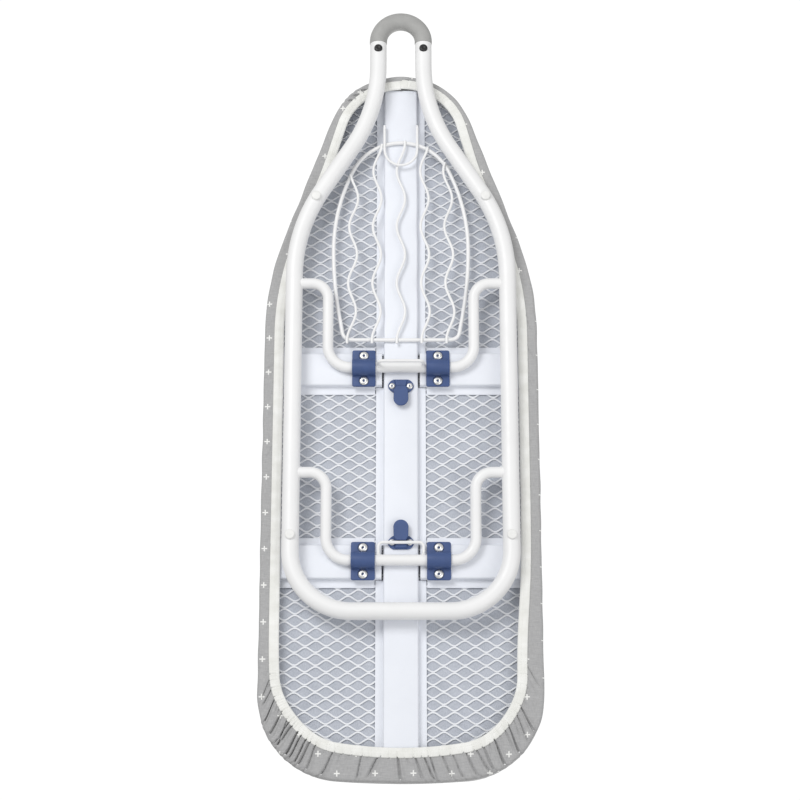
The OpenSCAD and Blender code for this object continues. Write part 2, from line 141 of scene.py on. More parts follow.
class Graph:
    """A new material, with short calls for the nodes that its look is made of."""

    def __init__(self, name):
        self.material = bpy.data.materials.new(name)
        self.material.use_nodes = True
        self.tree = self.material.node_tree
        self.shader = self.tree.nodes["Principled BSDF"]

    def add(self, kind, inputs=None, **settings):
        node = self.tree.nodes.new("ShaderNode" + kind)
        for key, value in settings.items():
            setattr(node, key, value)
        for key, value in (inputs or {}).items():
            self.put(node, key, value)
        return node

    def put(self, node, key, value):
        if isinstance(value, bpy.types.NodeSocket):
            self.tree.links.new(value, node.inputs[key])
        else:
            node.inputs[key].default_value = value

    def set(self, **values):
        for key, value in values.items():
            self.put(self.shader, key.replace("_", " "), value)

    def math(self, operation, *values):
        return self.add("Math", dict(enumerate(values)), operation=operation).outputs[0]

    def here(self):
        return self.add("TexCoord").outputs["Object"]

    def stretch(self, vector, scale):
        return self.add("Mapping", {"Vector": vector, "Scale": scale}).outputs[0]

    def noise(self, vector, scale, detail=2.0, roughness=0.5):
        values = {"Vector": vector, "Scale": scale, "Detail": detail, "Roughness": roughness}
        return self.add("TexNoise", values).outputs[0]

    def fit(self, value, low, high, to_low, to_high):
        names = ("Value", "From Min", "From Max", "To Min", "To Max")
        return self.add("MapRange", dict(zip(names, (value, low, high, to_low, to_high)))).outputs[0]

    def mix(self, factor, first, second):
        return self.add("Mix", {0: factor, 6: first, 7: second}, data_type="RGBA").outputs[2]

    def bump(self, height, strength, distance, normal=None):
        values = {"Height": height, "Strength": strength, "Distance": distance}
        if normal:
            values["Normal"] = normal
        return self.add("Bump", values).outputs[0]


def powder_coat(name, colour, roughness=0.4):
    """Satin powder coat: faint orange peel, slightly uneven gloss and tone."""
    g = Graph(name)
    here = g.here()
    tone = g.mix(g.fit(g.noise(here, 24, 3), 0.3, 0.7, 0, 1), shade(colour, 0.975), shade(colour, 1.01))
    rough = g.fit(g.noise(here, 150, 3), 0.3, 0.7, roughness - 0.05, roughness + 0.07)
    peel = g.bump(g.noise(here, 620, 1.5), 0.22, 0.05 * MM)
    g.set(Base_Color=tone, Roughness=rough, Normal=peel, IOR=1.5)
    return g.material


def moulded(name, colour, roughness, grain, sheen=0.0):
    """Moulded plastic or rubber with a fine spark-eroded grain."""
    g = Graph(name)
    here = g.here()
    tone = g.mix(g.fit(g.noise(here, 90, 4, 0.6), 0.3, 0.7, 0, 1), shade(colour, 0.92), shade(colour, 1.07))
    rough = g.fit(g.noise(here, 420, 3), 0.3, 0.7, roughness - 0.06, roughness + 0.08)
    skin = g.bump(g.noise(here, 2600, 2), 0.35, grain)
    g.set(Base_Color=tone, Roughness=rough, Normal=skin, Sheen_Weight=sheen)
    return g.material


def bright_metal(name):
    """Nickel-plated rivet, turned in rings and slightly hazy."""
    g = Graph(name)
    here = g.here()
    tone = g.mix(g.noise(here, 900, 3), linear(214, 214, 212), linear(250, 250, 248))
    rough = g.fit(g.noise(here, 1500, 2), 0.3, 0.7, 0.2, 0.42)
    scratch = g.bump(g.noise(g.stretch(here, (3000, 3000, 400)), 1, 2), 0.15, 0.03 * MM)
    g.set(Base_Color=tone, Roughness=rough, Normal=scratch, Metallic=0.85)
    return g.material


def printed_cloth(name):
    """Plain-woven grey cotton, printed with small white crosses in staggered rows."""
    g = Graph(name)
    cloth = g.add("UVMap", uv_map="cloth").outputs[0]
    place = g.add("SeparateXYZ", {0: cloth})
    across, along = place.outputs[0], place.outputs[1]
    warp = g.noise(g.stretch(cloth, (2100, 160, 1)), 1, 2)
    weft = g.noise(g.stretch(cloth, (160, 2100, 1)), 1, 2)
    slub = g.noise(g.stretch(cloth, (90, 700, 1)), 1, 3)
    thread = g.math("ADD", g.math("ADD", warp, weft), g.math("MULTIPLY", slub, 0.7))
    grey = g.mix(g.fit(thread, 0.95, 1.75, 0, 1), linear(158, 158, 159), linear(186, 186, 186))

    pitch, arm, half_stroke = 40 * MM, 3.1 * MM, 0.68 * MM
    ragged = g.math("MULTIPLY", g.math("SUBTRACT", g.noise(cloth, 1500, 2), 0.5), 0.55 * MM)

    def cross(shift):
        """1 inside the crosses of a square grid that is moved by shift both ways."""
        offsets = []
        for value, start in ((across, 12 * MM), (along, 0)):
            inside = g.math("FLOORED_MODULO", g.math("ADD", value, shift - start + pitch / 2), pitch)
            offsets.append(g.math("ADD", g.math("ABSOLUTE", g.math("SUBTRACT", inside, pitch / 2)), ragged))
        strokes = [
            g.math("MULTIPLY", g.math("LESS_THAN", a, half_stroke), g.math("LESS_THAN", b, arm))
            for a, b in (offsets, offsets[::-1])
        ]
        return g.math("MAXIMUM", *strokes)

    printed = g.math("MAXIMUM", cross(0), cross(pitch / 2))
    tone = g.mix(g.math("MULTIPLY", printed, 0.93), grey, linear(246, 246, 243))
    count = 2 * math.pi / (0.62 * MM)
    weave = g.math("MULTIPLY", g.math("SINE", g.math("MULTIPLY", across, count)),
                   g.math("SINE", g.math("MULTIPLY", along, count)))
    height = g.math("ADD", g.math("MULTIPLY", weave, 0.5), thread)
    g.set(Base_Color=tone, Roughness=0.88, Normal=g.bump(height, 0.35, 0.10 * MM), Sheen_Weight=0.12,
          Sheen_Roughness=0.6)
    return g.material


def woven_tape(name):
    """Off-white cotton tape, with ribs across it."""
    g = Graph(name)
    tape = g.add("UVMap", uv_map="cloth").outputs[0]
    place = g.add("SeparateXYZ", {0: tape})
    ribs = g.math("SINE", g.math("MULTIPLY", place.outputs[0], 2 * math.pi / (0.9 * MM)))
    fuzz = g.noise(g.stretch(tape, (1800, 500, 1)), 1, 3)
    dirt = g.noise(tape, 70, 3)
    tone = g.mix(g.fit(dirt, 0.3, 0.7, 0, 1), linear(232, 232, 227), linear(247, 247, 244))
    height = g.math("ADD", g.math("MULTIPLY", ribs, 0.35), fuzz)
    g.set(Base_Color=tone, Roughness=0.9, Normal=g.bump(height, 0.4, 0.12 * MM), Sheen_Weight=0.1)
    return g.material


def felt(name, dark, light):
    """Needled pad, mottled by matted fibres."""
    g = Graph(name)
    here = g.here()
    fibre = g.noise(g.stretch(here, (900, 420, 600)), 1, 5, 0.65)
    cloud = g.noise(here, 45, 3)
    both = g.math("ADD", g.math("MULTIPLY", fibre, 0.7), g.math("MULTIPLY", cloud, 0.3))
    tone = g.mix(g.fit(both, 0.35, 0.65, 0, 1), dark, light)
    g.set(Base_Color=tone, Roughness=0.95, Normal=g.bump(fibre, 0.6, 0.3 * MM), Sheen_Weight=0.15)
    return g.material


def thread_look(name, colour):
    g = Graph(name)
    twist = g.noise(g.here(), 3500, 2)
    tone = g.mix(twist, shade(colour, 0.9), shade(colour, 1.05))
    g.set(Base_Color=tone, Roughness=0.8, Normal=g.bump(twist, 0.4, 0.05 * MM))
    return g.material


def floor_look(name):
    """Pale matt floor. It is clear from below, so that the underside can be seen through it."""
    g = Graph(name)
    tone = g.mix(g.noise(g.here(), 3, 2), linear(232, 232, 231), linear(238, 238, 237))
    g.set(Base_Color=tone, Roughness=0.8)
    clear = g.add("BsdfTransparent")
    below = g.add("NewGeometry").outputs["Backfacing"]
    mix = g.add("MixShader", {0: below, 1: g.shader.outputs[0], 2: clear.outputs[0]})
    g.put(g.tree.nodes["Material Output"], "Surface", mix.outputs[0])
    return g.material


# ---------------------------------------------------------------- shapes

def unit(vectors):
    vectors = np.asarray(vectors, float)
    return vectors / np.maximum(np.linalg.norm(vectors, axis=-1, keepdims=True), 1e-12)


def circle(radius, sides):
    angles = np.arange(sides) * 2 * math.pi / sides
    return radius * np.stack([np.cos(angles), np.sin(angles)], 1)


def grid_faces(rows, columns, around=True, closed=False):
    """Quads between rows of points. around joins each row's ends, closed the last row to the first."""
    i, j = np.meshgrid(np.arange(rows if closed else rows - 1),
                       np.arange(columns if around else columns - 1), indexing="ij")
    below, beside = (i + 1) % rows, (j + 1) % columns
    corners = (i * columns + j, i * columns + beside, below * columns + beside, below * columns + j)
    return np.stack([c.ravel() for c in corners], 1).tolist()


def sweep(path, section, up, closed=False):
    """A section of (side, up) points carried along a path, with flat ends."""
    path = np.asarray(path, float)
    ahead = np.roll(path, -1, 0) - np.roll(path, 1, 0)
    if not closed:
        ahead[0], ahead[-1] = path[1] - path[0], path[-1] - path[-2]
    side = unit(np.cross(unit(ahead), up))
    above = np.cross(side, unit(ahead))
    points = path[:, None] + side[:, None] * section[:, :1] + above[:, None] * section[:, 1:]
    rows, sides = points.shape[:2]
    faces = grid_faces(rows, sides, closed=closed)
    if not closed:
        faces += [list(range(sides))[::-1], list(range((rows - 1) * sides, rows * sides))]
    return points.reshape(-1, 3), faces


def rounded(corners, radii, step=math.radians(5)):
    """Straight runs through the corners, with an arc of the given radius at each."""
    corners = [np.asarray(c, float) for c in corners]
    points = [corners[0]]
    for before, corner, after, radius in zip(corners, corners[1:], corners[2:], radii):
        a, b = unit(corner - before), unit(after - corner)
        angle = math.acos(max(-1, min(1, float(a @ b))))
        inward = unit(b - a * (a @ b))
        centre = corner - a * radius * math.tan(angle / 2) + inward * radius
        for turn in np.linspace(0, angle, max(2, math.ceil(angle / step)) + 1):
            points.append(centre + radius * (math.sin(turn) * a - math.cos(turn) * inward))
    return np.array(points + [corners[-1]])


def lathe(profile, sides=32):
    """(radius, height) points turned about Z; a radius of 0 closes an end."""
    angles = np.arange(sides) * 2 * math.pi / sides
    radii, heights = np.asarray(profile, float).T
    points = np.stack([radii[:, None] * np.cos(angles), radii[:, None] * np.sin(angles),
                       np.repeat(heights[:, None], sides, 1)], 2)
    return points.reshape(-1, 3), grid_faces(len(profile), sides)


def turned(profile, sides, base=0.0):
    """A profile of (radius, height) in millimetres turned about Z, from the height base."""
    return lathe([(r * MM, base + h * MM) for r, h in profile], sides)


def placed(part, matrix):
    points, faces = part
    matrix = np.array(matrix)
    moved = np.asarray(points) @ matrix[:3, :3].T + matrix[:3, 3]
    if np.linalg.det(matrix[:3, :3]) < 0:
        faces = [face[::-1] for face in faces]
    return moved, faces


def build(name, parts, sharp=40, outward=True):
    """One mesh object from several (points, faces) parts."""
    points, faces = [], []
    for part_points, part_faces in parts:
        first = len(points)
        points += np.asarray(part_points).tolist()
        faces += [[first + i for i in face] for face in part_faces]
    mesh = bpy.data.meshes.new(name)
    mesh.from_pydata(points, [], faces)
    if outward:
        bm = bmesh.new()
        bm.from_mesh(mesh)
        bmesh.ops.remove_doubles(bm, verts=bm.verts, dist=0.002 * MM)
        bmesh.ops.recalc_face_normals(bm, faces=bm.faces)
        bm.to_mesh(mesh)
        bm.free()
    mesh.shade_smooth()
    mesh.set_sharp_from_angle(angle=math.radians(sharp))
    piece = bpy.data.objects.new(name, mesh)
    scene.collection.objects.link(piece)
    return piece


def bevel(piece, width, segments=3):
    modifier = piece.modifiers.new("rounded_edges", "BEVEL")
    modifier.width = width
    modifier.segments = segments
    modifier.limit_method = "ANGLE"
    modifier.angle_limit = math.radians(35)
    modifier.harden_normals = False
    modifier.use_clamp_overlap = True


body_of = {n: body for body, names in frame["record"]["behaviour"]["bodies"].items() for n in names}


def stands_for(piece, material, *nodes):
    """The piece takes the place, the body and the material slot of these CAD nodes."""
    piece.data.materials.append(material)
    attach(piece, body_of[nodes[0]])
    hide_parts(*nodes)
    return piece


def goes_with(piece, material, node):
    """The piece rides with a CAD node and takes its slot, but doesn't stand for it."""
    piece.data.materials.append(material)
    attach(piece, body_of[node])
    return piece


# ---------------------------------------------------------------- places, read from the frame

joint_at = {j["name"]: j.get("pos_m") for j in frame["joints"]}
front_base_y, base_z = joint_at["front_leg_fold"][1:]
rear_base_y = joint_at["rear_leg_fold"][1]
front_y, leg_z = joint_at["board_level"][1:]
rear_y = front_y - (front_base_y - rear_base_y)

BASE_TUBE = ["base_tail_bar"] + [f"base_{part}_{side}" for part in ("arm", "side", "corner")
                                 for side in ("left", "right")]
tube_low, tube_high = (Vector(pick(corner) for corner in zip(*(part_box(node)[k] for node in BASE_TUBE)))
                       for k, pick in ((0, min), (1, max)))
grip_low, grip_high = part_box("hook_grip")
base_r = (tube_high.z - tube_low.z) / 2
grip_r = (grip_high.z - grip_low.z) / 2
side_x = tube_high.x - base_r
arm_x = grip_high.x - grip_r
arm_top = grip_high.y - arm_x - grip_r
leg_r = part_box("front_leg_tube")[1].z - leg_z
web_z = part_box("spine")[0].z
deck_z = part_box("deck_mesh")[0].z
cover_low, cover_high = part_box("cover")
half_w, y_tail, y_nose = cover_high.x, cover_low.y, cover_high.y
cover_z, cover_top = cover_low.z, cover_high.z
UP = (0, 0, 1)


# ---------------------------------------------------------------- base

DIAGONAL = 2 * math.atan(7 / 24)          # turn between an arm and the diagonal run to the side
ARM_BEND_R, SIDE_BEND_R, LOOP_CORNER_R = 190 * MM, 190 * MM, 66 * MM
GRIP_RIM = 3 * MM                         # straight rim of the grip past the tube's open end
ARM_BEND_BACK = 86.5 * MM                 # from the grip's bow back to the arm's bend
PLUG_BACK = 9 * MM                        # from the tube's open end to the plug
FRONT_FOOT_AHEAD, REAR_FOOT_BACK = 102 * MM, 71 * MM   # from the pivots on the base


def make_base(white, grey, black, foot_white):
    """The bent tube, its U grip with two plugs, and the four feet."""
    tube_end_y = arm_top - GRIP_RIM
    arm_bend_y = arm_top - ARM_BEND_BACK
    side_bend_y = arm_bend_y - (side_x - arm_x) / math.tan(DIAGONAL)
    bar_y = tube_low.y + base_r
    half = [(arm_x, tube_end_y), (arm_x, arm_bend_y), (side_x, side_bend_y), (side_x, bar_y)]
    corners = [(x, y, base_z) for x, y in half + [(-x, y) for x, y in half[::-1]]]
    radii = [ARM_BEND_R, SIDE_BEND_R, LOOP_CORNER_R]
    path = rounded(corners, radii + radii[::-1], math.radians(2.5))
    tube = build("base_tube_look", [sweep(path, circle(base_r, 48), UP)])
    stands_for(tube, white, *BASE_TUBE)

    # the U grip ends in short straight rims, with a rounded lip where it meets the tube
    bow = [(arm_x * math.cos(turn), arm_top + arm_x * math.sin(turn), base_z)
           for turn in np.linspace(0, math.pi, 49)]
    path = [(arm_x, tube_end_y, base_z)] + bow + [(-arm_x, tube_end_y, base_z)]
    grip = build("hook_grip_look", [sweep(path, circle(grip_r, 40), UP)])
    bevel(grip, 0.7 * MM, 4)
    stands_for(grip, grey, "hook_grip")

    button = [(0, -0.75), (0.9, -0.8), (1.5, -1.2), (2.6, -1.25), (3.9, -0.95), (4.6, -0.3),
              (4.75, 0.5), (4.75, 1.6), (2.4, 1.7), (2.4, 7)]
    plug = turned(button, 36, base_z - base_r)
    plug_y = tube_end_y - PLUG_BACK
    plugs = [placed(plug, Matrix.Translation((side * arm_x, plug_y, 0))) for side in (-1, 1)]
    stands_for(build("grip_plugs_look", plugs), black, "grip_plugs")

    # the front feet are on the side bends, the rear feet on the straight sides
    bend_end_y = side_bend_y - SIDE_BEND_R * math.tan(DIAGONAL / 2)
    front_foot_y = front_base_y + FRONT_FOOT_AHEAD
    front_foot_x = side_x - SIDE_BEND_R + math.sqrt(SIDE_BEND_R ** 2 - (front_foot_y - bend_end_y) ** 2)
    pad = [(0, 0), (3.9, 0), (4.9, 0.25), (5.35, 0.8), (5.5, 1.6), (5.5, 4.6), (2.4, 4.8), (2.4, 6.5)]
    foot = turned(pad, 40)
    spots = ((front_foot_x, front_foot_y), (side_x, rear_base_y - REAR_FOOT_BACK))
    feet = [placed(foot, Matrix.Translation((side * x, y, 0))) for x, y in spots for side in (-1, 1)]
    stands_for(build("base_feet_look", feet), foot_white, "base_feet")


# ---------------------------------------------------------------- legs

def make_legs(white):
    leg_x = 81 * MM
    end_x = side_x - 1.5 * MM
    bail_wire = 3.5 * MM
    for end, base_y, cross_y, tilt in (("front", front_base_y, front_y, math.radians(-86)),
                                       ("rear", rear_base_y, rear_y, 0)):
        base, cross = np.array((0, base_y, base_z)), np.array((0, cross_y, leg_z))
        right, out = np.array((leg_x, 0, 0)), np.array((end_x, 0, 0))
        corners = [base + out, base + right, cross + right, cross - right, base - right, base - out]
        normal = unit(np.cross((1, 0, 0), cross - base))
        path = rounded(corners, [r * MM for r in (18, 24, 24, 18)])
        tube = build(f"{end}_leg_tube_look", [sweep(path, circle(leg_r, 36), normal)])
        stands_for(tube, white, f"{end}_leg_tube")

        half, reach = 24.5 * MM, 19.6 * MM
        along = np.array((0, math.cos(tilt), math.sin(tilt)))
        start = along * leg_r * 0.7
        left, right = np.array((-half, 0, 0)), np.array((half, 0, 0))
        corners = [cross + left + start, cross + left + along * reach,
                   cross + right + along * reach, cross + right + start]
        path = rounded(corners, [5 * MM] * 2, math.radians(9))
        parts = [sweep(path, circle(bail_wire / 2, 20), np.cross((1, 0, 0), along))]
        # a weld bead where each end meets the cross tube
        bead = turned([(0, 0), (1.6, 0.1), (2.5, 0.7), (2.75, 1.5), (2.2, 2.2), (1.75, 2.6)], 20)
        turn = Vector((0, 0, 1)).rotation_difference(Vector(along)).to_matrix().to_4x4()
        for offset in (left, right):
            spot = Matrix.Translation(Vector(cross + offset + along * (leg_r - 1.1 * MM)))
            parts.append(placed(bead, spot @ turn))
        stands_for(build(f"{end}_leg_bail_look", parts), white, f"{end}_leg_bail")


# ---------------------------------------------------------------- clips, rivets and latches

CLIP_X = 41 * MM
RIVET_PITCH = 29 * MM


def rounded_rectangle(width, height, radius, steps=4):
    points = []
    for quarter, (sx, sy) in enumerate(((1, 1), (-1, 1), (-1, -1), (1, -1))):
        for step in range(steps + 1):
            angle = (quarter + step / steps) * math.pi / 2
            points.append((sx * (width / 2 - radius) + radius * math.cos(angle),
                           sy * (height / 2 - radius) + radius * math.sin(angle)))
    return np.array(points)


def make_clips(blue, steel):
    """Moulded saddles under both cross tubes, each held by two tubular rivets."""
    wide, thick, half_len, corner = 26 * MM, 2.7 * MM, 21 * MM, 2.2 * MM
    ear_z = web_z - leg_z - thick / 2 - 0.05 * MM
    bend = leg_r + 0.3 * MM + thick / 2
    corners = [(0, -half_len, ear_z), (0, -bend, ear_z), (0, -bend, -bend),
               (0, bend, -bend), (0, bend, ear_z), (0, half_len, ear_z)]
    middle = rounded(corners, [1.9 * MM, bend, bend, 1.9 * MM], math.radians(7))[1:-1].tolist()
    near = [corner * (1 - math.cos(a)) for a in np.linspace(0, math.pi / 2, 7)]
    path = [(0, -half_len + n, ear_z) for n in near] + middle + [(0, half_len - n, ear_z) for n in near[::-1]]
    path = np.array(path)
    section = rounded_rectangle(thick, wide, 0.6 * MM)
    points, faces = sweep(path, section, (1, 0, 0))
    rings = points.reshape(len(path), len(section), 3)
    for k, n in enumerate(near):
        lost = corner - math.sqrt(max(0, corner ** 2 - (corner - n) ** 2))
        for ring in (rings[k], rings[len(path) - 1 - k]):
            ring[:, 0] *= (wide / 2 - lost) / (wide / 2)
            squeeze = 1 - 0.35 * (1 - min(1, n / (0.5 * MM)))
            ring[:, 2] = ear_z + (ring[:, 2] - ear_z) * squeeze
    clip = (rings.reshape(-1, 3), faces)

    ear_face = web_z - thick - 0.05 * MM
    bore = lathe([(0, -1), (5.95, -1), (5.95, 0.9), (0, 0.9)], 40)
    bore = (bore[0] * MM, bore[1])
    dome = [(0, 2.4), (1.25, 2.4), (1.25, -0.55), (1.5, -0.95), (2.1, -1.1), (3.1, -1.0),
            (4.2, -0.62), (4.8, -0.15), (5.0, 0.25), (4.9, 0.55), (2, 0.7), (2, 3.4)]
    head = turned(dome, 40)
    for end, y in (("front", front_y), ("rear", rear_y)):
        rivets = []
        for side, x in (("left", -CLIP_X), ("right", CLIP_X)):
            piece = build(f"{end}_clip_{side}_look", [placed(clip, Matrix.Translation((x, y, leg_z)))])
            spots = [Matrix.Translation((x, y + s * RIVET_PITCH / 2, ear_face)) for s in (-1, 1)]
            cutter = build("cutter", [placed(bore, spot) for spot in spots])
            carve(piece, cutter)
            rivets += [placed(head, spot) for spot in spots]
            stands_for(piece, blue, f"{end}_clip_{side}")
        stands_for(build(f"{end}_clip_rivets_look", rivets), steel, f"{end}_clip_rivets")


def carve(piece, cutter):
    """Cuts the cutter out of the piece for good."""
    modifier = piece.modifiers.new("cut", "BOOLEAN")
    modifier.object = cutter
    modifier.solver = "EXACT"
    bpy.context.view_layer.update()
    made = bpy.data.meshes.new_from_object(piece.evaluated_get(bpy.context.evaluated_depsgraph_get()))
    piece.modifiers.clear()
    piece.data = made
    made.shade_smooth()
    made.set_sharp_from_angle(angle=math.radians(40))
    bpy.data.objects.remove(cutter)


def prism(outline, low, high):
    """An outline of (x, y) points between two heights."""
    outline = np.asarray(outline, float)
    rings = [np.column_stack([outline, np.full(len(outline), low)]),
             np.column_stack([outline, np.full(len(outline), high)])]
    count = len(outline)
    faces = grid_faces(2, count) + [list(range(count))[::-1], list(range(count, 2 * count))]
    return np.concatenate(rings), faces


def make_latches(blue, steel):
    """Each latch: a riveted base with a ramp and a groove, and a tongue with a round finger tab."""
    pitch, tab_w, tab_end = 19.5 * MM, 16.5 * MM, 24 * MM
    front_latch_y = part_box("front_latch_base")[1].y - 6.5 * MM
    rear_latch_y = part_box("rear_latch_base")[0].y + 6.5 * MM

    # everything is drawn with the tab to +Y and its height below the spine as +Z
    corner = [(8.3, -7.6), (11.2, -6.0), (13.6, -3.0), (14.2, 0), (13.4, 2.8), (11.0, 5.6), (8.6, 7.2)]
    plate_outline = rounded(
        [(0, -7.6, 0)] + [(x, y, 0) for x, y in corner] + [(0, 7.2, 0)], [1.2] * len(corner), 0.3)[:, :2]
    plate_outline = np.concatenate([plate_outline[:-1], [(-x, y) for x, y in plate_outline[::-1][:-1]]]) * MM
    plate = prism(plate_outline, 0.05 * MM, 2.2 * MM)
    ramp_low = [(-7.6, -7.2), (7.6, -7.2), (5.6, 0.5), (-5.6, 0.5)]
    ramp_high = [(-6.2, -5.8), (6.2, -5.8), (4.8, 0.4), (-4.8, 0.4)]
    ramp = (np.array([(x, y, 2.0) for x, y in ramp_low] + [(x, y, 4.1) for x, y in ramp_high]) * MM,
            grid_faces(2, 4) + [[3, 2, 1, 0], [4, 5, 6, 7]])
    tab_half = [(5.2, 1.3), (5.8, 2.6), (7.9, 5.6)]
    round_end = [(tab_w / 2 * math.cos(a), tab_end - tab_w / 2 + tab_w / 2 * math.sin(a))
                 for a in np.linspace(0, math.pi, 25)]
    tab_outline = [(x * MM, y * MM) for x, y in tab_half] + round_end
    tab_outline += [(-x * MM, y * MM) for x, y in tab_half[::-1]]
    tab = prism(tab_outline, 6.0 * MM, 8.4 * MM)
    neck_outline = [(x * MM, y * MM) for x, y in ((-5, 1.3), (5, 1.3), (4.6, 4.3), (-4.6, 4.3))]
    neck = prism(neck_outline, 2.35 * MM, 6.2 * MM)
    dome = [(0, -1), (0.85, -1), (0.85, 3.0), (1.1, 3.3), (1.6, 3.4), (2.6, 3.15), (3.3, 2.75),
            (3.5, 2.4), (3.4, 2.2), (1.5, 2.1), (1.5, -1)]
    head = turned(dome, 32)

    rivets = []
    for end, y, turn in (("front", front_latch_y, Matrix.Rotation(math.pi, 4, "X")),
                         ("rear", rear_latch_y, Matrix.Rotation(math.pi, 4, "Y"))):
        spot = Matrix.Translation((0, y, web_z)) @ turn
        base = build(f"{end}_latch_base_look", [placed(plate, spot), placed(ramp, spot)])
        bevel(base, 0.45 * MM)
        stands_for(base, blue, f"{end}_latch_base")
        tongue = build(f"{end}_latch_tongue_look", [placed(tab, spot), placed(neck, spot)], sharp=30)
        bevel(tongue, 0.75 * MM, 4)
        stands_for(tongue, blue, f"{end}_latch_tongue")
        for s in (-1, 1):
            rivets.append(placed(head, spot @ Matrix.Translation((s * pitch / 2, 0, 0))))
    stands_for(build("latch_rivets_look", rivets), steel, "latch_rivets")


# ---------------------------------------------------------------- board frame

SHEET = 1 * MM
WEB_W = 38 * MM
FLANGE = 8.5 * MM


def hat_section(flanged):
    """Half-open hat profile as a closed outline of (side, up) points, web at the bottom."""
    rise = deck_z - web_z
    half = WEB_W / 2 - SHEET / 2
    mid_low, mid_high = SHEET / 2, rise - SHEET / 2
    out = WEB_W / 2 + FLANGE
    if flanged:
        corners = [(-out, mid_high, 0), (-half, mid_high, 0), (-half, mid_low, 0),
                   (half, mid_low, 0), (half, mid_high, 0), (out, mid_high, 0)]
        radii = [1.3 * MM, 1.9 * MM, 1.9 * MM, 1.3 * MM]
    else:
        corners = [(-half, mid_high, 0), (-half, mid_low, 0), (half, mid_low, 0), (half, mid_high, 0)]
        radii = [1.9 * MM, 1.9 * MM]
    middle = rounded(corners, radii, math.radians(15))[:, :2]
    ahead = np.gradient(middle, axis=0)
    ahead[1:-1] = middle[2:] - middle[:-2]
    normal = unit(ahead)[:, ::-1] * (-1, 1)
    return np.concatenate([middle + normal * SHEET / 2, (middle - normal * SHEET / 2)[::-1]])


def hat_run(start, end, flanged):
    """A stretch of hat section between two points at the height of the web's lower face."""
    start, end = np.asarray(start, float), np.asarray(end, float)
    path = np.linspace(start, end, max(2, int(np.linalg.norm(end - start) / 0.04)))
    return sweep(path, hat_section(flanged), UP)


def make_frame(white):
    # the finish given here is the darker, bluer copy of the white powder coat: painted cool shade
    spine_low, spine_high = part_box("spine")
    notch = WEB_W / 2 + 0.5 * MM
    parts = []
    stops = [spine_low.y, rear_y - notch, rear_y + notch, front_y - notch, front_y + notch, spine_high.y]
    for k, (a, b) in enumerate(zip(stops, stops[1:])):
        parts.append(hat_run((0, a, web_z), (0, b, web_z), flanged=k % 2 == 0))
    spine = build("spine_look", parts, sharp=30)
    stands_for(spine, white, "spine")
    for end, y in (("front", front_y), ("rear", rear_y)):
        for side, s in (("left", -1), ("right", 1)):
            low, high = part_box(f"{end}_brace_{side}")
            inner, outer = sorted((abs(low.x), abs(high.x)))
            bare = WEB_W / 2 + FLANGE + 1 * MM
            parts = [hat_run((s * inner, y, web_z), (s * bare, y, web_z), False),
                     hat_run((s * bare, y, web_z), (s * outer, y, web_z), True)]
            stands_for(build(f"{end}_brace_{side}_look", parts, sharp=30), white, f"{end}_brace_{side}")


# ---------------------------------------------------------------- outline of the board

class Edge:
    """The board's edge, measured by its length from the middle of the tail, anticlockwise from above."""

    NOSE_R, FLANK_R, CORNER_R, TAIL_R = 84 * MM, 350 * MM, 90 * MM, 900 * MM
    TAPER = math.radians(20)

    def __init__(self):
        quarter = math.pi / 2
        nose = np.array((0, y_nose - self.NOSE_R))
        flank_x = half_w - self.FLANK_R
        across = self.NOSE_R - self.FLANK_R - math.cos(self.TAPER) * flank_x
        flank_y = nose[1] + across / math.sin(self.TAPER)
        tail_y = y_tail + self.TAIL_R
        corner_x = half_w - self.CORNER_R
        swing = math.asin(corner_x / (self.TAIL_R - self.CORNER_R))
        corner_y = tail_y - (self.TAIL_R - self.CORNER_R) * math.cos(swing)
        arcs = [((0, tail_y), self.TAIL_R, -quarter, swing - quarter), ((corner_x, corner_y), self.CORNER_R,
                swing - quarter, 0), ((flank_x, flank_y), self.FLANK_R, 0, self.TAPER),
                (nose, self.NOSE_R, self.TAPER, quarter)]
        points, angles = [], []
        for centre, radius, start, stop in arcs:
            turn = np.linspace(start, stop, 400)
            points.append(np.array(centre) + radius * np.stack([np.cos(turn), np.sin(turn)], 1))
            angles.append(turn)
        points, angles = np.concatenate(points), np.concatenate(angles)
        # how much of the tail's shift a point takes: all of it at the corner, none at the flank
        shift = np.clip((flank_y - points[:, 1]) / (flank_y - corner_y), 0, 1)
        mirror = points[::-1] * (-1, 1)
        self.points = np.concatenate([points, mirror])
        self.angles = np.concatenate([angles, math.pi - angles[::-1]])
        self.shift = np.concatenate([shift, shift[::-1]])
        steps = np.linalg.norm(np.diff(self.points, axis=0), axis=1)
        self.along = np.concatenate([[0], np.cumsum(steps)])
        self.length = float(self.along[-1])
        self.corner = float(np.interp(0, angles[:800], self.along[:800]))
        self.nose_start = float(self.along[1200])

    def at(self, s):
        """Point, outward normal and share of the tail's shift at lengths s."""
        s = np.asarray(s, float) % self.length
        point = np.stack([np.interp(s, self.along, self.points[:, k]) for k in (0, 1)], -1)
        angle = np.interp(s, self.along, self.angles)
        return point, np.stack([np.cos(angle), np.sin(angle)], -1), np.interp(s, self.along, self.shift)


edge = Edge()
TAIL_SHIFT = 18 * MM
HEM_IN = 11 * MM
HEM_W = 11 * MM
PRINT_X, PRINT_Y = 5 * MM, 12 * MM        # places the printed crosses on the underside
TAPE_LOW, TAPE_HIGH = 2.3 * MM, 0.9 * MM  # how far the tape swells below and above its rim
RIM_Z = cover_z - 0.1 * MM
TAPE_TURN = np.linspace(0, math.pi, 13)
TAPE_SHARE, TAPE_BULGE = 0.5 - 0.5 * np.cos(TAPE_TURN), np.sin(TAPE_TURN) ** 0.55


def smooth_step(value):
    value = np.clip(value, 0, 1)
    return value * value * (3 - 2 * value)


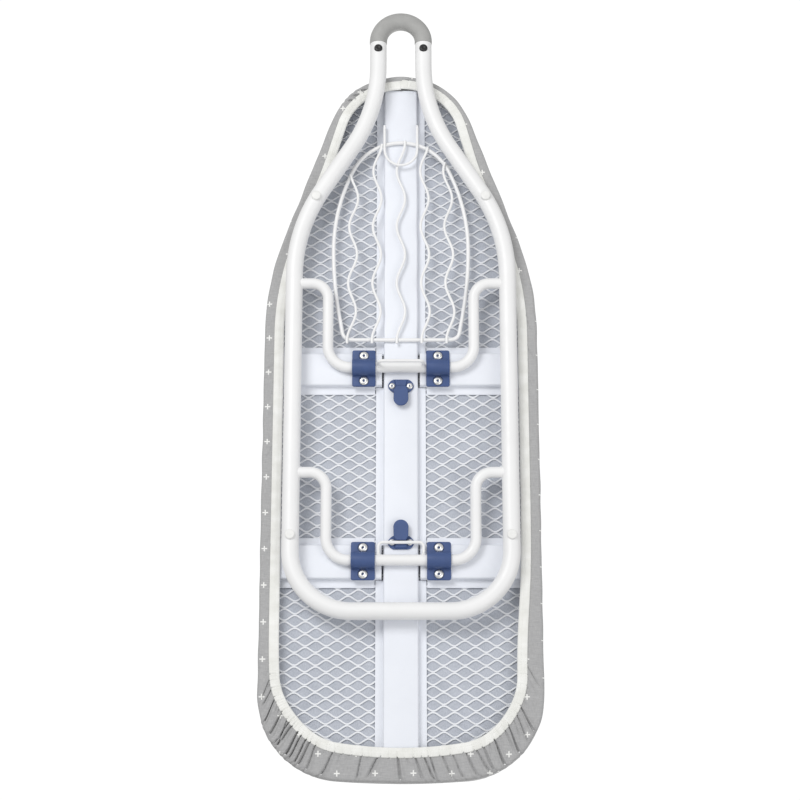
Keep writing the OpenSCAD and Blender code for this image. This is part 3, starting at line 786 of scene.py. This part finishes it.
def hem_inset(s):
    """How far in from the board's edge the hem lies.

    It is less round the nose and in the middle of the tail, and more at the tail's corners,
    where the elastic cuts across. It is drawn in most on the corner and flank of one side.
    """
    s = np.asarray(s, float) % edge.length
    near = np.minimum(s, edge.length - s)
    nose = smooth_step((near - edge.nose_start + 70 * MM) / (80 * MM))
    middle = np.exp(-((near / (80 * MM)) ** 2))
    corner = np.exp(-(((near - edge.corner + 60 * MM) / (55 * MM)) ** 2))
    drawn = np.exp(-(((edge.length - s - edge.corner - 25 * MM) / (75 * MM)) ** 2))
    less = np.where(s < edge.length / 2, 3.6, 5.0) * nose + 4.0 * middle
    return HEM_IN + (5.0 * corner + 6.0 * drawn - less) * MM


def gather_at(s):
    """How tightly the cloth is gathered, 0 to 1: most at the tail's corners, some at the tail and nose."""
    s = np.asarray(s, float) % edge.length
    s = np.minimum(s, edge.length - s)
    corner = np.exp(-(((s - edge.corner * 0.62) / (70 * MM)) ** 2))
    tail = 0.62 * smooth_step((edge.corner + 60 * MM - s) / (90 * MM))
    nose = 0.5 * smooth_step((s - edge.nose_start + 20 * MM) / (60 * MM))
    return np.clip(np.maximum(np.maximum(corner, tail), nose), 0, 1)


def edge_stations():
    """Lengths round the edge, closer together where the cloth is gathered."""
    fine = np.linspace(0, edge.length, 6001)
    density = 0.5 / MM + 0.75 / MM * smooth_step(gather_at(fine) * 2.2)
    total = np.concatenate([[0], np.cumsum((density[1:] + density[:-1]) / 2 * np.diff(fine))])
    count = int(total[-1])
    return np.interp(np.arange(count) * total[-1] / count, total, fine)


# ---------------------------------------------------------------- pleats

def make_pleats():
    """Creases that run out from the hem: place round the edge, depth, width, slant and reach of each."""
    draw = random.Random(11)
    pleats, s = [], 4 * MM
    while s < edge.length:
        tight = float(gather_at(s))
        if draw.random() < 0.25 + 0.35 * tight:
            depth = (1.5 + 4.2 * tight) * draw.uniform(0.7, 1.2) * MM
            width = draw.uniform(0.45, 0.75) * MM
            reach = draw.uniform(0.6, 1.3) * (0.6 + 0.6 * tight)
        else:
            depth = (0.5 + 1.6 * tight) * draw.uniform(0.5, 1.1) * MM
            width = draw.uniform(0.5, 0.9) * MM
            reach = draw.uniform(0.18, 0.5)
        # the cloth is pulled towards the tail's corners, so its creases lean that way
        near = min(s, edge.length - s)
        lean = max(-1.0, min(1.0, (edge.corner - 55 * MM - near) / (70 * MM))) * min(1.0, near / (40 * MM))
        if s > edge.length / 2:
            lean = -lean
        slant = draw.gauss(0, 0.22) + 0.75 * lean
        pleats.append((s, depth, width, slant, reach))
        s += draw.uniform(5, 11) * MM / (0.3 + 0.7 * tight)
    return pleats


def pleat_field(s, out, pleats):
    """Depth of the creases at lengths s and shares out, 0 at the hem and 1 at the board's edge."""
    depth = np.zeros(np.broadcast(s, out).shape)
    span = 30 * MM
    for centre, deep, width, slant, reach in pleats:
        offset = (s - centre + edge.length / 2) % edge.length - edge.length / 2 - slant * out * span
        fade = smooth_step((reach - out) / (0.5 * reach))
        wide = width * (1 + 1.2 * out)
        valley = np.exp(-np.abs(offset) / wide)
        ridge = 0.42 * np.exp(-(((np.abs(offset) - 2.6 * wide) / (1.7 * wide)) ** 2))
        depth += deep * fade * (valley - ridge)
    return depth


# ---------------------------------------------------------------- cover, hem and pad

def section_rows():
    """(inset, height, share of tail shift) down the cover, from its top to under the hem."""
    top_r, low_r = 5 * MM, 3.4 * MM
    rows = [(13 * MM, cover_top), (9 * MM, cover_top), (6.6 * MM, cover_top)]
    for turn in np.linspace(0, math.pi / 2, 6):
        rows.append((top_r * (1 - math.sin(turn)), cover_top - top_r * (1 - math.cos(turn))))
    for height in np.linspace(cover_top - top_r, cover_z + low_r, 7)[1:-1]:
        rows.append((0, height))
    for turn in np.linspace(0, math.pi / 2, 6):
        rows.append((low_r * (1 - math.cos(turn)), cover_z + low_r * (1 - math.sin(turn))))
    for inset in np.linspace(low_r, HEM_IN + 4 * MM, 14)[1:]:
        rows.append((inset, cover_z))
    rows = np.array(rows)
    lengths = np.concatenate([[0], np.cumsum(np.linalg.norm(np.diff(rows, axis=0), axis=1))])
    return rows, lengths


def wander(points, scale, seed):
    """Smooth noise between -1 and 1 at 2-D points, made of a few fixed waves."""
    draw = random.Random(seed)
    total = np.zeros(points.shape[:-1])
    for _ in range(9):
        angle, phase = draw.uniform(0, 2 * math.pi), draw.uniform(0, 2 * math.pi)
        pace = draw.uniform(0.6, 1.7) / scale
        wave = points[..., 0] * math.cos(angle) + points[..., 1] * math.sin(angle)
        total += np.sin(wave * pace * 2 * math.pi + phase)
    return total / 4.5


def midline(point):
    """The place on the board's middle line that each point of the edge runs in to."""
    y = np.interp(point[:, 1], (y_tail, y_nose), (y_tail + 70 * MM, y_nose - 70 * MM))
    return np.stack([np.zeros(len(point)), y], 1)


def corner_vertices(piece):
    """The vertex that each face corner of a piece uses."""
    vertices = np.zeros(len(piece.data.loops), int)
    piece.data.loops.foreach_get("vertex_index", vertices)
    return vertices


def make_cover(cloth, pleats):
    """The printed cloth: over the top, down the wall and in under the board to the hem."""
    s = edge_stations()
    rows, lengths = section_rows()
    point, normal, shift = edge.at(s)
    inset, height = rows[:, 0], rows[:, 1]
    under = smooth_step((inset - 2 * MM) / (HEM_IN + 2 * MM)) * (height < cover_z + 6 * MM)
    outer = lengths - inset[0]
    flat = point[None] + normal[None] * outer[:, None, None]

    skirt = np.zeros((len(rows), len(s), 3))
    low = rows[:, 0] >= 3.4 * MM
    low[:np.argmax(height <= cover_z + 1e-9)] = False
    full = (hem_inset(s) + 4 * MM - 3.4 * MM) / (HEM_IN + 4 * MM - 3.4 * MM)
    inset_all = np.where(low[:, None], 3.4 * MM + (inset[:, None] - 3.4 * MM) * full[None], inset[:, None])
    skirt[..., :2] = point[None] - normal[None] * inset_all[..., None]
    skirt[..., 1] += TAIL_SHIFT * shift[None] * under[:, None]
    skirt[..., 2] = height[:, None]
    plain = skirt[..., :2].copy()

    # creases: full at the hem, fading out over the bottom edge and up the wall
    start = lengths[np.argmax(height <= cover_top - 9 * MM)]
    out = 1 - np.clip((lengths - start) / (lengths[-1] - start), 0, 1)
    crease = pleat_field(s[None], out[:, None], pleats)
    down = smooth_step((inset - 0.3 * MM) / (4 * MM)) * (height < cover_z + 6 * MM)
    wall = (1 - down) * (height < cover_top - 4 * MM)
    room = np.where(down > 0.5, 7.0, 1.6) * MM
    crease = np.clip(crease, -1.5 * MM, room[:, None])
    skirt[..., 2] += crease * down[:, None]
    skirt[..., :2] -= normal[None] * (0.45 * crease * wall[:, None])[..., None]
    soft = wander(flat, 55 * MM, 3) * 0.45 * MM
    sway = smooth_step((cover_top - 3 * MM - height) / (6 * MM))
    skirt[..., :2] += normal[None] * (soft * sway[:, None])[..., None]
    skirt[..., 2] += 0.25 * MM * (wander(flat, 16 * MM, 5) * down[:, None])

    # the top runs in from both sides to a line along the middle
    n = len(s)
    ribs = np.linspace(0, 1, 14)[1:]
    centre = midline(point)
    start_xy = point - normal * inset[0]
    top = start_xy[None] * (1 - ribs[:, None, None]) + centre[None] * ribs[:, None, None]
    crown = 0.12 * MM * wander(top, 90 * MM, 8) * smooth_step(ribs * 3)[:, None]
    top3 = np.concatenate([top, (cover_top + crown)[..., None]], 2)

    grid = np.concatenate([top3[::-1], skirt])
    flat_all = np.concatenate([top[::-1], flat])
    piece = build("cover_look", [(grid.reshape(-1, 3), grid_faces(len(grid), n))], sharp=180, outward=False)
    # the gathers take up the spare cloth below, so the print there keeps its shape
    layer = piece.data.uv_layers.new(name="cloth")
    loops = corner_vertices(piece)
    starts = np.zeros(len(piece.data.polygons), int)
    piece.data.polygons.foreach_get("loop_start", starts)
    ring = np.minimum.reduceat(loops // n, starts)
    ring = np.repeat(ring, np.diff(np.append(starts, len(loops))))
    below = ring >= len(ribs) + np.argmax(height <= cover_z + 2.4 * MM)
    print_at = np.concatenate([top[::-1], plain]).reshape(-1, 2) + (PRINT_X, PRINT_Y)
    uv = np.where(below[:, None], print_at[loops], flat_all.reshape(-1, 2)[loops])
    layer.data.foreach_set("uv", uv.ravel())
    stands_for(piece, cloth, "cover")


def hem_surface(s, share, pleats):
    """Points across the tape, share 0 at its outer edge and 1 at its inner edge, on its lower face."""
    point, normal, shift = edge.at(s)
    tight = gather_at(s)
    crease = pleat_field(s, 0 * s, pleats)
    inset = hem_inset(s) + HEM_W * share + np.clip(crease, 0, 2.6 * MM) * 0.7 * (1 - share)
    xy = point - normal * inset[..., None]
    xy[..., 1] += TAIL_SHIFT * shift
    return xy, tight, crease


def tape_below(s, portion, puff, seam, pleats):
    """Points on the tape's lower face at one share of its width, and their heights."""
    xy, tight, crease = hem_surface(s, np.full_like(s, portion), pleats)
    ruffle = wander(np.stack([s, np.full_like(s, portion * 6 * MM)], 1), 5.5 * MM, 21)
    ripple = wander(np.stack([s, np.full_like(s, portion * 9 * MM)], 1), 2.4 * MM, 22)
    fold = np.clip(crease, -0.6 * MM, 1.6 * MM) * (1 - 0.75 * portion)
    z = RIM_Z - TAPE_LOW * puff + (0.30 * ruffle + 0.12 * ripple) * (0.25 + 0.9 * tight) * puff * MM
    return xy, z + (0.6 * fold + 0.45 * MM * seam) * puff


def make_hem(tape, thread, pleats):
    """The gathered tape, sunk along two seams, and the stitches in them."""
    s = edge_stations()
    rings = []
    for portion, puff in zip(TAPE_SHARE, TAPE_BULGE):
        seam = np.exp(-(((portion - 0.2) / 0.07) ** 2)) + 0.7 * np.exp(-(((portion - 0.62) / 0.07) ** 2))
        rings.append(np.column_stack(tape_below(s, portion, puff, seam, pleats)))
    for portion, puff in zip(TAPE_SHARE[::-1][1:-1], TAPE_BULGE[::-1][1:-1]):
        xy, _, _ = hem_surface(s, np.full_like(s, portion), pleats)
        rings.append(np.column_stack([xy, np.full_like(s, RIM_Z + TAPE_HIGH * puff)]))
    grid = np.array(rings)
    count = len(grid)
    faces = grid_faces(count, len(s), closed=True)
    piece = build("hem_binding_look", [(grid.reshape(-1, 3), faces)], sharp=180, outward=False)
    layer = piece.data.uv_layers.new(name="cloth")
    across = np.arange(count) / count * 2 * HEM_W
    flat = np.stack(np.broadcast_arrays(s[None], across[:, None]), -1).reshape(-1, 2)
    layer.data.foreach_set("uv", flat[corner_vertices(piece)].ravel())
    stands_for(piece, tape, "hem_binding")

    # two rows of lockstitch, sunk a little in the tape
    stitch_len, pitch, thick = 1.7 * MM, 2.6 * MM, 0.28 * MM
    parts = []
    for portion, seam in ((0.2, 1.0), (0.62, 0.7)):
        spots = np.arange(0, edge.length, pitch)
        puff = float(np.interp(portion, TAPE_SHARE, TAPE_BULGE))
        ends = []
        for offset in (-0.5, -0.3, 0, 0.3, 0.5):
            xy, z = tape_below(spots + offset * stitch_len, portion, puff, seam, pleats)
            arch = 0.25 * MM * (1 - (2 * abs(offset)) ** 2) - 0.12 * MM
            ends.append(np.column_stack([xy, z - arch]))
        ends = np.array(ends)
        for k in range(ends.shape[1]):
            widths = np.array((0.35, 0.85, 1, 0.85, 0.35))
            points, faces = sweep(ends[:, k], circle(1, 6), UP)
            rings = points.reshape(5, 6, 3)
            centres = ends[:, k][:, None]
            rings = centres + (rings - centres) * (thick * widths)[:, None, None]
            parts.append((rings.reshape(-1, 3), faces))
    stitches = build("hem_stitches", parts)
    goes_with(stitches, thread, "hem_binding")


def make_elastic(rubber, pleats):
    """The cord inside the tape, which follows the tape round the opening."""
    s = np.linspace(0, edge.length, 700, endpoint=False)
    xy, _, _ = hem_surface(s, np.full_like(s, 0.42), pleats)
    path = relaxed(np.column_stack([xy, np.full_like(s, cover_z - 0.95 * MM)]), True)
    cord = build("hem_elastic_look", [sweep(path, circle(0.5 * MM, 8), UP, closed=True)])
    stands_for(cord, rubber, "hem_elastic")


def board_slab(inset, low, high, edge_r, swell, seed, columns=420):
    """A closed slab of the board's outline with rounded edges and softly uneven faces."""
    s = np.arange(columns) * edge.length / columns
    point, normal, _ = edge.at(s)
    centre = midline(point)
    loops = []
    for z, side in ((low, -1), (high, 1)):
        start = point - normal * (inset + edge_r)
        rings = [start * (1 - f) + centre * f for f in np.linspace(1, 0, 26)]
        faces = [np.column_stack([r, z + side * swell * wander(r, 30 * MM, seed + side)]) for r in rings]
        turns = np.linspace(0, math.pi / 2, 4)[1:]
        for turn in turns:
            r = point - normal * (inset + edge_r * (1 - math.sin(turn)))
            faces.append(np.column_stack([r, np.full(columns, z - side * edge_r * (1 - math.cos(turn)))]))
        loops.append(faces)
    grid = np.array(loops[0] + loops[1][::-1])
    return grid.reshape(-1, 3), grid_faces(len(grid), columns)


def make_pad(foam):
    low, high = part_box("foam_pad")
    inset = half_w - high.x
    pad = build("foam_pad_look", [board_slab(inset, low.z, high.z, 1.6 * MM, 0.12 * MM, 31)], sharp=60)
    stands_for(pad, foam, "foam_pad")


# ---------------------------------------------------------------- expanded mesh deck

MESH_W = 22.8 * MM
MESH_H = 13.9 * MM


def make_deck(steel):
    """Slit and stretched sheet: each strand zigzags between two rows of bonds."""
    low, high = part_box("deck_mesh")
    s = np.linspace(0, edge.length / 2, 3000)
    point, normal, _ = edge.at(s)
    rim = point - normal * (half_w - high.x + 0.5 * MM)
    strand_w, strand_t = 2.0 * MM, 1.0 * MM
    section = rounded_rectangle(strand_w, strand_t, 0.28 * MM, 1)
    tilt = math.radians(-17)
    spin = np.array(((math.cos(tilt), -math.sin(tilt)), (math.sin(tilt), math.cos(tilt))))
    section = section @ spin.T
    bond = 0.85 * MM
    mid_z = (low.z + high.z) / 2
    rows = int((rim[:, 1].max() - rim[:, 1].min()) / (MESH_H / 2))
    parts = []
    samples = 12
    for row in range(rows):
        base_y = rim[0, 1] + (row + 0.2) * MESH_H / 2
        mid_y = base_y + MESH_H / 4
        reach = float(np.interp(mid_y, rim[:, 1], rim[:, 0])) - 1 * MM
        if reach < MESH_W:
            continue
        count = int(2 * reach / MESH_W * samples)
        x = np.linspace(-reach, reach, max(4, count))
        phase = (x / MESH_W + 0.5 * (row % 2)) % 1
        ramp = np.abs(phase * 2 - 1)
        eased = smooth_step((ramp - 0.11) / 0.78) * 0.45 + np.clip((ramp - 0.11) / 0.78, 0, 1) * 0.55
        y = base_y + bond + (MESH_H / 2 - 2 * bond) * eased
        z = mid_z + 0.18 * MM * np.cos(ramp * 2 * math.pi)
        parts.append(sweep(np.column_stack([x, y, z]), section, UP))
    deck = build("deck_mesh_look", parts, sharp=50)
    stands_for(deck, steel, "deck_mesh")


# ---------------------------------------------------------------- iron rest

def make_rest(white):
    """The iron rest: a bowed frame, five wavy wires that end on its arch, and a hook wire."""
    low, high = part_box("rest_frame")
    wire = (high.z - low.z) / 2
    rest_z = (high.z + low.z) / 2
    wavy_low, wavy_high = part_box("rest_wavy_wires")
    thin = (wavy_high.z - wavy_low.z) / 2
    wavy_z = (wavy_high.z + wavy_low.z) / 2
    arch_y, arch_r = y_nose - 145 * MM, 60 * MM
    widest, widest_y = 76 * MM, arch_y - 70.5 * MM
    bar_y = front_y + 33 * MM
    corner_r, corner_x = 9.5 * MM, 56.5 * MM
    upper_r, lower_r = 222.7 * MM, 460 * MM

    def arc(x, y, radius, start, stop, count):
        turns = np.radians(np.linspace(start, stop, count))
        return [(x + radius * math.cos(t), y + radius * math.sin(t)) for t in turns]

    right = arc(corner_x, bar_y + corner_r, corner_r, -90, -8, 9)
    right += arc(widest - lower_r, widest_y, lower_r, -12.4, 0, 14)
    right += arc(widest - upper_r, widest_y, upper_r, 0, 23.5, 16)[1:]
    right += arc(0, arch_y, arch_r, 22.3, 90, 24)
    left = [(-x, y) for x, y in right[-2::-1]]
    loop = [(x, y, rest_z) for x, y in right + left]
    frame_wire = build("rest_frame_look", [sweep(relaxed(loop, True), circle(wire, 18), UP, closed=True)])
    stands_for(frame_wire, white, "rest_frame")

    wave, wave_len, peak_y = 4.7 * MM, 68 * MM, y_nose - 155.5 * MM
    parts = []
    for k in range(-2, 3):
        x_bar, x_arch = k * 27.7 * MM, k * 26.5 * MM
        start = bar_y - 5 * MM
        stop = arch_y + math.sqrt(arch_r ** 2 - x_arch ** 2)
        for _ in range(6):
            swing = wave * math.cos(2 * math.pi * (stop - peak_y) / wave_len)
            stop = (stop + arch_y + math.sqrt(arch_r ** 2 - (x_arch - swing) ** 2)) / 2
        stop += 1 * MM
        f = np.linspace(0, 1, 90)
        y = start + (stop - start) * f
        x = x_bar + (x_arch - x_bar) * f - wave * np.cos(2 * math.pi * (y - peak_y) / wave_len)
        parts.append(sweep(np.column_stack([x, y, np.full_like(y, wavy_z)]), circle(thin, 14), UP))
        for spot in (0, -1):
            parts.append(weld((x[spot], y[spot] + (4.9 * MM if spot == 0 else -1 * MM), wavy_z + thin * 0.6)))
    stands_for(build("rest_wavy_wires_look", parts), white, "rest_wavy_wires")

    hook_x, hook_low = 18.75 * MM, y_nose - 97 * MM
    arms = [(hook_x, y_nose - 65 * MM), (hook_x, hook_low + 12 * MM)]
    half = arms + arc(0, hook_low, hook_x, 0, -90, 14)
    path = half + [(-x, y) for x, y in half[-2::-1]]
    drop = 2 * thin - 0.2 * MM
    points = [(x, y, wavy_z - drop * min(1, max(0, (hook_low + 10 * MM - y) / (20 * MM)))) for x, y in path]
    hook = sweep(relaxed(points, False), circle(thin, 16), UP)
    stands_for(build("rest_hook_wire_look", [hook]), white, "rest_hook_wire")


def weld(place):
    bead = [(0, -1.4), (1.1, -1.1), (1.9, 0), (1.7, 1.0), (0, 1.4)]
    return placed(turned(bead, 14), Matrix.Translation(place))


def relaxed(points, closed, spacing=3 * MM, passes=3):
    """The same line with evenly spaced points and its kinks eased."""
    points = np.asarray(points, float)
    if closed:
        points = np.concatenate([points, points[:1]])
    along = np.concatenate([[0], np.cumsum(np.linalg.norm(np.diff(points, axis=0), axis=1))])
    count = max(4, int(along[-1] / spacing))
    spots = np.linspace(0, along[-1], count, endpoint=not closed)
    line = np.stack([np.interp(spots, along, points[:, k]) for k in range(3)], 1)
    for _ in range(passes):
        eased = (np.roll(line, 1, 0) + 2 * line + np.roll(line, -1, 0)) / 4
        if not closed:
            eased[[0, -1]] = line[[0, -1]]
        line = eased
    return line


# ---------------------------------------------------------------- carried-over CAD nodes

def dress_node(node, material):
    """A CAD node whose shape is right keeps its mesh and gets its finish."""
    piece = frame["nodes"][node]
    if not piece.material_slots:
        piece.data.materials.append(material)
    for slot in piece.material_slots:
        slot.material = material


def make_floor():
    half = 4.0
    floor_z = cad_low.z - 0.2 * MM
    corners = [(-half, -half, floor_z), (half, -half, floor_z), (half, half, floor_z), (-half, half, floor_z)]
    floor = build("floor", [(corners, [[0, 1, 2, 3]])], outward=False)
    floor.data.materials.append(floor_look("floor_look"))
    floor.visible_shadow = False
    floor.visible_diffuse = False
    floor.visible_glossy = False


def main():
    make_camera()
    make_lights()
    make_floor()
    white = powder_coat("white_powder_coat", linear(243, 243, 243))
    deck_white = powder_coat("deck_powder_coat", linear(238, 240, 244), 0.45)
    # a darker, bluer copy of the white powder coat for the spine and braces: painted cool shade
    painted_shade_frame_white = powder_coat("frame_powder_coat", linear(237, 240, 247), 0.42)
    wire_white = powder_coat("wire_powder_coat", linear(244, 244, 244), 0.36)
    blue = moulded("blue_moulding", linear(62, 84, 132), 0.5, 0.04 * MM)
    grey = moulded("grey_grip", linear(168, 168, 166), 0.62, 0.06 * MM, sheen=0.08)
    black = moulded("black_plug", linear(30, 30, 31), 0.42, 0.03 * MM)
    foot_white = moulded("white_foot", linear(238, 238, 236), 0.5, 0.04 * MM)
    steel = bright_metal("rivet_nickel")

    make_base(white, grey, black, foot_white)
    make_legs(white)
    make_clips(blue, steel)
    make_latches(blue, steel)
    make_frame(painted_shade_frame_white)
    make_deck(deck_white)
    make_rest(wire_white)
    dress_node("deck_rim", white)

    pleats = make_pleats()
    make_pad(felt("needled_pad", linear(172, 177, 187), linear(200, 204, 213)))
    make_hem(woven_tape("cotton_tape"), thread_look("sewing_thread", linear(240, 240, 236)), pleats)
    make_elastic(moulded("elastic", linear(226, 226, 220), 0.7, 0.08 * MM), pleats)
    make_cover(printed_cloth("printed_cotton"), pleats)


main()
